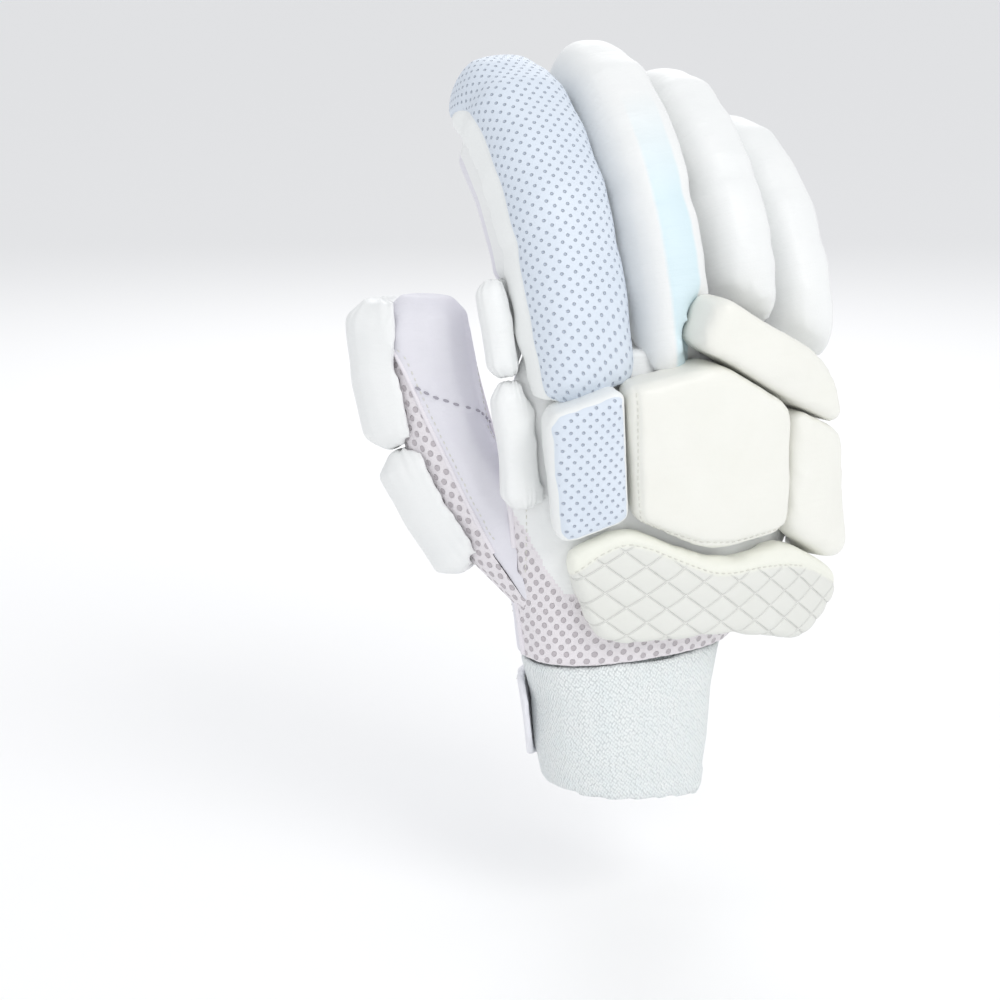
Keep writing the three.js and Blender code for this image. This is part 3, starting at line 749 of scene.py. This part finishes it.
def stitch_row(name, hits, material, length=2.0, width=0.55):
    bpy.ops.mesh.primitive_uv_sphere_add(segments=8, ring_count=5, radius=0.5)
    pattern = bpy.context.object
    corners = points_of(pattern) * mm * (length, width, width * 0.8)
    faces = [list(p.vertices) for p in pattern.data.polygons]
    bpy.data.objects.remove(pattern)
    places = np.array([place for place, _ in hits])
    ahead = np.gradient(places, axis=0)
    vertices, polygons = [], []
    for (place, normal), direction in zip(hits, ahead):
        x = unit(direction - normal * direction.dot(normal))
        frame_of = np.stack([x, np.cross(normal, x), normal])
        start = len(vertices)
        vertices.extend((corners @ frame_of + place + normal * 0.1) * mm)
        polygons.extend([start + i for i in face] for face in faces)
    mesh = bpy.data.meshes.new(name)
    mesh.from_pydata([tuple(v) for v in vertices], [], polygons)
    row = bpy.data.objects.new(name, mesh)
    scene.collection.objects.link(row)
    mesh.shade_smooth()
    mesh.materials.append(material)
    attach(row, "root")


stitch_spacing = 2.7


def bed_stitches(name, piece, line):
    places = evenly(line, stitch_spacing)
    starts = bed_place(places[:, 0], places[:, 1], 45.0)
    inwards = bed_place(places[:, 0], places[:, 1], 0.0) - starts
    stitch_row(name, drop_onto(piece, starts, inwards), thread)


# %% Dress a pad
def dress_pad(piece, seams, seed):
    across, up, rise = bed_lay(points_of(piece))
    press = 0.3 * slow_noise(np.stack([across, up, rise], 1), 30, seed)
    top = np.clip((rise - 9) / 3, 0, 1)
    for line in seams:
        press -= 0.55 * ridge(distance_to(line, across, up), 0.9) * top
    push_out(piece, press)
    set_layout(piece, across * (1 + rise / bed_radius), up)
    set_mask(piece, "cover", np.full(len(across), 3.0))
    return across, up, rise


side_pad = foam_piece("side_pad_foam", "side_pad", 2.6, proud=0.8)
across, up, rise = dress_pad(side_pad, [], 5)
outwards = bed_place(across, up, 1.0) - bed_place(across, up, 0.0)
set_mask(side_pad, "cover", ((normals_of(side_pad) * outwards).sum(axis=1) - 0.7) * 8)
side_pad.data.materials.append(blue_leather)

hexagon_seam = corners_of(
    (-0.53, 0.925), (-0.45, 0.56), (-0.425, 0.5), (-0.36, 0.475), (0.03, 0.385), (0.52, 0.405)
)
hexagon_seam = rounded(hexagon_seam, 1)
hexagon_pad = foam_piece("hexagon_pad_foam", "hexagon_pad", 2.9, proud=0.9)
dress_pad(hexagon_pad, [hexagon_seam], 6)
hexagon_pad.data.materials.append(cream_leather)
bed_stitches("hexagon_pad_stitches", hexagon_pad, hexagon_seam)

for node, seed in (("knuckle_pad", 7), ("outer_pad", 8)):
    pad = foam_piece(f"{node}_foam", node, 3.0, proud=0.9)
    dress_pad(pad, [], seed)
    pad.data.materials.append(cream_leather)

# %% Wrist pad
wrist_seam = rounded(
    corners_of(
        (-0.78, 0.33), (-0.62, 0.40), (-0.45, 0.43), (-0.1, 0.33),
        (0.1, 0.28), (0.4, 0.285), (0.72, 0.255), (1.05, 0.15),
    ),
    2,
)
wrist_pad = foam_piece("wrist_pad_foam", "wrist_pad", 2.6, proud=0.9)
across, up, rise = dress_pad(wrist_pad, [wrist_seam], 9)
below = np.interp(across, wrist_seam[:, 0], wrist_seam[:, 1]) - up
tiled = np.clip(below / 1.2, 0, 1) * np.clip((rise - 5) / 3, 0, 1)
across_tiles = across * (1 + rise / bed_radius)
pillow = np.abs(
    np.sin(math.pi * (tile_a[0] * across_tiles + tile_a[1] * up))
    * np.sin(math.pi * (tile_b[0] * across_tiles + tile_b[1] * up))
)
push_out(wrist_pad, (pillow ** 0.4 - 0.8) * tiled)
set_mask(wrist_pad, "tiled", tiled)
wrist_pad.data.materials.append(tiled_finish)
bed_stitches("wrist_pad_stitches", wrist_pad, wrist_seam[2:-6])

# %% [markdown]
# ## Short rolls
#
# The thumb and the index finger's side have short rolls. Their leather is gathered at both ends, which
# makes fine pleats that fan out from the end seam.

# %% Thumb and side rolls
def dress_short_roll(piece, limb, ends, centre, seed):
    points = points_of(piece)
    along, across, above, _ = limb.lay(points)
    turn = np.arctan2(across - centre[0], above - centre[1])
    from_end = np.minimum(along - ends[0], ends[1] - along)
    pleats = np.sin(turn * 17 + 2.5 * np.sin(turn * 5 + seed)) * np.exp(-np.maximum(from_end, 0) / 6.0)
    press = 0.4 * pleats + 0.25 * slow_noise(points, 20, seed)
    push_out(piece, press)
    set_layout(piece, turn * 18, along)
    piece.data.materials.append(white_leather)


for node, ends, seed in (("thumb_roll_lower", (20.6, 67.8), 10), ("thumb_roll_upper", (67.8, 118.6), 11)):
    roll = foam_piece(f"{node}_foam", node, 2.5)
    dress_short_roll(roll, limbs["thumb"], ends, (0, 18), seed)
for node, ends, seed in (
    ("index_side_roll_lower", (-28.4, 20.6), 12),
    ("index_side_roll_upper", (20.6, 58.0), 13),
):
    roll = foam_piece(f"{node}_foam", node, 2.1, proud=0.8)
    dress_short_roll(roll, limbs["index"], ends, (22, 0), seed)

# %% [markdown]
# ## The hand
#
# Palm and finger fronts are one hide, and the back and the finger stalls are mesh. The solids of both are
# given one even skin and smoothed together, so that the webs between the fingers melt. A value per point
# says how far it is from the seam, and the skin is cut exactly where that value passes zero.

# %% One skin over leather and mesh
def shell_skin(name, leather_nodes, mesh_nodes, voxel, rounds):
    piece = merged_copy(name, leather_nodes + mesh_nodes)
    even_skin(piece, voxel)
    points = smooth_values(piece, points_of(piece), rounds)
    set_points(piece, points)
    leather_tree, mesh_tree = tree_of(leather_nodes), tree_of(mesh_nodes)
    seam = np.array(
        [mesh_tree.find_nearest(Vector(p))[3] - leather_tree.find_nearest(Vector(p))[3] for p in points]
    )
    return piece, smooth_values(piece, seam, 8, shrink=1.0)


def cut_where_zero(piece, value, names):
    """Two pieces, one for each side of the line where a value per vertex passes zero."""
    shape = bmesh.new()
    shape.from_mesh(piece.data)
    layer = shape.verts.layers.float.new("seam")
    for vertex in shape.verts:
        near = abs(value[vertex.index]) < 0.12
        vertex[layer] = 0.0 if near else value[vertex.index]
    crossing = [v for v in shape.verts if v[layer] == 0.0]
    for edge in list(shape.edges):
        start, end = edge.verts
        if start[layer] * end[layer] < 0:
            share = start[layer] / (start[layer] - end[layer])
            _, new = bmesh.utils.edge_split(edge, start, share)
            new[layer] = 0.0
            crossing.append(new)
    bmesh.ops.connect_verts(shape, verts=crossing)
    pieces = []
    for name, sign in zip(names, (1, -1)):
        half = shape.copy()
        far = half.verts.layers.float["seam"]
        away = [f for f in half.faces if sum(v[far] for v in f.verts) * sign <= 0]
        bmesh.ops.delete(half, geom=away, context="FACES")
        made = piece_from(name, half)
        made.data.shade_smooth()
        pieces.append(made)
    shape.free()
    bpy.data.objects.remove(piece)
    return pieces


finger_names = ["index", "middle", "ring", "little"]
leather_nodes = ["palm_leather"] + [f"{name}_front" for name in finger_names]
mesh_nodes = ["back_mesh"] + [f"{name}_stall" for name in finger_names]
skin, seam = shell_skin("hand_skin", leather_nodes, mesh_nodes, 1.35, 50)
points = points_of(skin)
along, across, above, _ = limbs["index"].lay(points)
# The index finger is fuller on its thumb's side, towards its small rolls.
bulge = np.clip((across - 5) / 6, 0, 1) * np.clip((along - 45) / 15, 0, 1) * np.clip((122 - along) / 12, 0, 1)
bulge *= np.clip((24 - np.hypot(across, above)) / 4, 0, 1)
bulge_height = 5.5
push_out(skin, bulge_height * bulge)
hand_leather, hand_mesh = cut_where_zero(skin, seam, ("hand_leather", "hand_mesh"))
print("hand leather:", len(hand_leather.data.polygons), "hand mesh:", len(hand_mesh.data.polygons))

# %% Patterns that follow each finger
palm_slope = 0.158
finger_radius = 13.0
fine_holes = 0.3


def round_limb(limb, points, radius):
    """Round and along a limb, counted from the middle of the points, so that a half tube has no break."""
    along, across, above, _ = limb.lay(points)
    centre = np.array([across.mean(), above.mean()])
    turn = np.arctan2(across, above) - math.atan2(*centre)
    return (np.mod(turn + math.pi, 2 * math.pi) - math.pi) * radius, along


def set_charts(piece, layouts, chart):
    """One layout per part of a piece. A face takes the layout of its own part, so that none is smeared."""
    mesh = piece.data
    corners = read_all(mesh.loops, "vertex_index", np.int32)
    starts = read_all(mesh.polygons, "loop_start", np.int32)
    per_corner = np.repeat(chart[corners[starts]], np.diff(np.append(starts, len(corners))))
    layer = mesh.uv_layers.new(name="lay")
    layer.data.foreach_set("uv", layouts[per_corner, corners].astype(np.float32).ravel())


def finger_of(points):
    """Which finger each point belongs to, or -1 in the hand."""
    nearest = np.full(len(points), -1)
    best = np.full(len(points), 17.0)
    for number, name in enumerate(finger_names):
        along, across, above, _ = limbs[name].lay(points)
        away = np.hypot(across, above)
        inside = (along > 30) & (away < best)
        nearest[inside] = number
        best[inside] = away[inside]
    return nearest


def dress_hand(piece, leather_side):
    points = points_of(piece)
    chart = finger_of(points) + 1
    across = points[:, 0] - hand_shift
    front = points[:, 1] + palm_slope * (points[:, 2] - hand_base)
    u = across if leather_side else round_dome(across, front + 20)
    layouts = [np.stack([u, points[:, 2]], axis=1)]
    # A ring of vents in the palm, and below a strip of them on each finger's front.
    vents = 4.0 - np.abs(np.hypot((points[:, 0] - 16) / 26, (points[:, 2] - 128) / 22) - 0.85) * 26
    for number, name in enumerate(finger_names):
        own = chart == number + 1
        layout = np.stack(round_limb(limbs[name], points, finger_radius), axis=1)
        layout[own] = np.stack(round_limb(limbs[name], points[own], finger_radius), axis=1)
        layouts.append(layout)
        round_it, along = layout[own].T
        length = limbs[name].length
        lower, upper = along - 0.3 * length, 0.86 * length - along
        vents[own] = np.minimum(np.minimum(6.0 - np.abs(round_it), lower), upper)
    set_charts(piece, np.array(layouts), chart)
    set_mask(piece, "vents", vents if leather_side else np.full(len(points), -5.0))
    # The mesh has its large holes only below this line, and the sides are plain above it.
    edge = np.interp(points[:, 0], (-55, -50, -43, -37), (134, 120, 101, 92))
    hand_holes = np.clip((edge - points[:, 2]) / 2, 0, 1)
    set_mask(piece, "holes", np.where(chart == 0, hand_holes, fine_holes))


dress_hand(hand_leather, True)
hand_leather.data.materials.append(palm_hide)
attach(hand_leather, "root")
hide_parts(*leather_nodes)
dress_hand(hand_mesh, False)
hand_mesh.data.materials.append(air_mesh)
hand_mesh.data.materials.append(white_leather)
chosen = read_all(hand_mesh.data.attributes["holes"].data, "value")
for face in hand_mesh.data.polygons:
    if all(chosen[v] < 0.01 for v in face.vertices):
        face.material_index = 1
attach(hand_mesh, "root")
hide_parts(*mesh_nodes)

# %% [markdown]
# ## The thumb
#
# The thumb's stall is leather over the ball and on the side that faces the fingers, and mesh under its
# rolls. A seam crosses the leather where a second layer starts, with a row of large stitches above it.

# %% Thumb stall
thumb_radius = 16.0
second_layer_at = 74.5
second_layer_slant = 0.73
mesh_past_rolls = 10.0
root_blend = 7
root_shift = 4.5
skin, seam = shell_skin("thumb_skin", ["thumb_leather"], ["thumb_mesh"], 1.25, 32)
thumb = limbs["thumb"]
hand_tree = tree_of(["palm_leather", "back_mesh"])
points = points_of(skin)
along, _, _, _ = thumb.lay(points)
sunk = np.array([np.clip(1 - hand_tree.find_nearest(Vector(p))[3] / root_blend, 0, 1) for p in points])
root_way = unit(thumb.place(0, 0, 0)[0] - thumb.place(20, 0, 0)[0])
set_points(skin, points + root_way * (root_shift * sunk)[:, None])
seam = seam - mesh_past_rolls * np.clip((118 - along) / 20, 0, 1)
thumb_leather, thumb_mesh = cut_where_zero(skin, seam, ("thumb_hide", "thumb_spacer"))
for piece, node, finish, slot in (
    (thumb_leather, "thumb_leather", palm_hide, "palm_hide"),
    (thumb_mesh, "thumb_mesh", air_mesh, "air_mesh"),
):
    points = points_of(piece)
    round_it, along = round_limb(thumb, points, thumb_radius)
    if node == "thumb_leather":
        step = along - second_layer_at - second_layer_slant * round_it
        press = 0.35 * np.tanh(step / 0.8) - 0.3 * ridge(step, 1.0)
        push_out(piece, press + 0.35 * slow_noise(points, 22, 14))
    set_layout(piece, round_it, along)
    set_mask(piece, "vents", np.full(len(points), -5.0))
    set_mask(piece, "holes", np.ones(len(points)))
    piece.data.materials.append(finish)
    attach(piece, "root")
    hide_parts(node)

# %% [markdown]
# ## Welts
#
# A welt is a narrow folded strip that is sewn into a seam. It hides the raw edges and takes the wear.
# Here it is a thin tube along the line where leather and mesh meet.

# %% Welts
def tube(name, lines, radius):
    curve = bpy.data.curves.new(name, "CURVE")
    curve.dimensions = "3D"
    curve.bevel_depth = radius * mm
    curve.bevel_resolution = 2
    curve.use_fill_caps = True
    for line in lines:
        spline = curve.splines.new("POLY")
        spline.points.add(len(line) - 1)
        spline.points.foreach_set("co", np.hstack([line * mm, np.ones((len(line), 1))]).ravel())
    made = bpy.data.objects.new(name, curve)
    scene.collection.objects.link(made)
    make_active(made)
    bpy.ops.object.convert(target="MESH")
    made = bpy.context.object
    made.data.shade_smooth()
    made.data.materials.append(welt_leather)
    points = points_of(made)
    set_layout(made, points[:, 0], points[:, 2])
    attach(made, "root")


def soften(line, rounds):
    """A line with each point drawn to its neighbours. The ends stay."""
    for _ in range(rounds):
        before = np.roll(line, 1, axis=0)
        after = np.roll(line, -1, axis=0)
        middle = (before + 2 * line + after) / 4
        middle[0], middle[-1] = line[0], line[-1]
        line = middle
    return line


def outermost(points, place, reach, step):
    """The point that reaches furthest in each step along a seam."""
    line = []
    for start in np.arange(place.min(), place.max(), step):
        here = np.flatnonzero((place >= start) & (place < start + step))
        if len(here):
            best = here[np.argsort(-reach[here])[:3]]
            line.append(points[best].mean(axis=0))
    return np.array(line)


values = read_all(hand_leather.data.attributes["seam"].data, "value")
on_seam = points_of(hand_leather)[values == 0.0]
chart = finger_of(on_seam)
sides = []
for sign in (-1, 1):
    here = on_seam[(chart == -1) & (sign * (on_seam[:, 0] - hand_shift) > 28) & (on_seam[:, 2] < 172)]
    line = outermost(here, here[:, 2], sign * here[:, 0], 3.0)
    sides.append(soften(line, 6))
tube("hand_welt", sides, 1.3)
fronts = []
for number, name in enumerate(finger_names):
    here = on_seam[chart == number]
    along, across, above, _ = limbs[name].lay(here)
    tip = limbs[name].length - finger_radius
    turn = np.where(along < tip, np.sign(across) * (math.pi / 2 * finger_radius + tip - along), 0)
    round_tip = np.arctan2(across, np.maximum(along - tip, 1e-6)) * finger_radius
    turn = np.where(along < tip, turn, round_tip)
    reach = np.hypot(across, np.maximum(along - tip, 0))
    fronts.append(soften(outermost(here, turn, reach, 3.0), 4))
tube("finger_welts", fronts, 0.9)

# %% Rows of stitches on a skin
def row_along(piece, value, place, side, step):
    """Points and normals on a piece in even steps of place, where a value per vertex passes zero."""
    points, normals = points_of(piece), normals_of(piece)
    here = np.flatnonzero((np.abs(value) < 0.8) & side)
    rows = []
    for start in np.arange(place[here].min(), place[here].max(), step):
        close = here[np.abs(place[here] - start) < step / 2]
        if len(close):
            rows.append((points[close].mean(axis=0), unit(normals[close].mean(axis=0))))
    return rows


def welt_along(name, row, radius):
    line = soften(np.array([place for place, _ in row]), 5)
    tube(name, [line], radius)


# %% Welt beside the side pad
side_welt_at = -50.5
side_stitches_at = -47.8
points, normals = points_of(hand_mesh), normals_of(hand_mesh)
facing = normals @ unit(np.array([-0.8, -0.6, 0.0])) > 0.4
beside = facing & (finger_of(points) < 0) & (points[:, 2] > 100) & (points[:, 2] < 150)
row = row_along(hand_mesh, points[:, 0] - side_welt_at, points[:, 2], beside, 3.0)
welt_along("side_welt", row, 1.2)
row = row_along(hand_mesh, points[:, 0] - side_stitches_at, points[:, 2], beside, stitch_spacing)
stitch_row("side_welt_stitches", row, thread, length=1.6, width=0.5)

# %% Seams round the thumb's root
thumb_tree = tree_of(["thumb_leather", "thumb_mesh"])
points, normals = points_of(hand_leather), normals_of(hand_leather)
_, across, above, _ = thumb.lay(points)
away = np.array([thumb_tree.find_nearest(Vector(p))[3] for p in points])
turn = np.arctan2(across, above)
palm_side = (normals[:, 1] > 0.35) & (finger_of(points) < 0) & (points[:, 2] > 76)
for label, distance in (("inner", 4.0), ("outer", 6.6)):
    row = row_along(hand_leather, away - distance, np.mod(turn + 1.0, 2 * math.pi) * 20, palm_side, 2.6)
    stitch_row(f"thumb_root_{label}_stitches", row, thread, length=1.7, width=0.5)

# %% Thumb seams
points, normals = points_of(thumb_leather), normals_of(thumb_leather)
round_it, along = round_limb(thumb, points, thumb_radius)
values = read_all(thumb_leather.data.attributes["seam"].data, "value")
outside = ((points - thumb.place(along, 0 * along, 0 * along)) * normals).sum(axis=1) > 0
cross_side = outside & (np.abs(round_it) < 40)
past_layer = along - second_layer_at - 1.8 - second_layer_slant * round_it
cross = row_along(thumb_leather, past_layer, round_it, cross_side, 3.4)
stitch_row("thumb_cross_stitches", cross, dark_thread, length=2.6, width=1.15)
for label, side in (("inner", round_it > 0), ("outer", round_it < 0)):
    side &= outside
    edge = row_along(thumb_leather, values - 2.4, along, side & (along > 22) & (along < 108), 2.6)
    stitch_row(f"thumb_{label}_stitches", edge, thread, length=1.5, width=0.5)
    rim = row_along(thumb_leather, values, along, side & (along > 18) & (along < 112), 3.0)
    welt_along(f"thumb_{label}_welt", rim, 0.9)

# %% [markdown]
# ## Wristband and strap
#
# The wristband is knitted in one tube with a turned hem. The strap is a soft leather tab with a stitched
# border and two pressed pale blocks.

# %% Wristband
wrist_flatness = 1.48
wrist_radius = 33.0
hem_height = 9
wristband = merged_copy("knit_wristband", ["wristband"])
even_skin(wristband, 1.5)
set_points(wristband, smooth_values(wristband, points_of(wristband), 40))
points = points_of(wristband)
hem = np.clip((hem_height - points[:, 2] + points[:, 2].min()) / 1.0, 0, 1)
push_out(wristband, 0.7 * hem)
points = points_of(wristband)
turn = np.arctan2(points[:, 1] * wrist_flatness, points[:, 0])
push_out(wristband, 0.35 * slow_noise(points * (1, 1, 0.4), 24, 15))
set_layout(wristband, turn * wrist_radius, points[:, 2], period=2 * math.pi * wrist_radius)
wristband.data.materials.append(knit)
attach(wristband, "root")
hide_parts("wristband")

# %% Strap
strap_radius = 34.0
block_place, block_half_width = 22.5, 8.5
block_from_middle, block_half_height = 7.25, 5.75
block_depth = 0.5
strap = merged_copy("strap_tab", ["strap"])
even_skin(strap, 0.8)
set_points(strap, smooth_values(strap, points_of(strap), 12))
points = points_of(strap)
set_layout(strap, np.arctan2(points[:, 1] * wrist_flatness, points[:, 0]) * strap_radius, points[:, 2])
strap_middle = (points[:, 2].min() + points[:, 2].max()) / 2
from_middle = np.abs(points[:, 2] - strap_middle)
pressed = (points[:, 1] > 0) & (np.abs(points[:, 0] - block_place) < block_half_width)
pressed &= np.abs(from_middle - block_from_middle) < block_half_height
set_mask(strap, "stripe", pressed.astype(float))
push_out(strap, -block_depth * pressed)
strap.data.materials.append(strap_leather)
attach(strap, "root")
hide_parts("strap")

strap_edge = 2.6
heights = points_of(strap)[:, 2]
angle = np.arange(0, 2 * math.pi, 0.075)
outwards = np.stack([np.cos(angle), np.sin(angle) / wrist_flatness, 0 * angle], 1)
for label, level in (("lower", heights.min() + strap_edge), ("upper", heights.max() - strap_edge)):
    starts = outwards * 60 + (0, 0, level)
    hits = drop_onto(strap, starts, -outwards)
    stitch_row(f"strap_{label}_stitches", hits, thread, length=1.7, width=0.5)

# %% Sizes and finish
meshes = [thing.data for thing in scene.objects if thing.type == "MESH"]
print("triangles:", sum(len(face.vertices) - 2 for mesh in meshes for face in mesh.polygons))
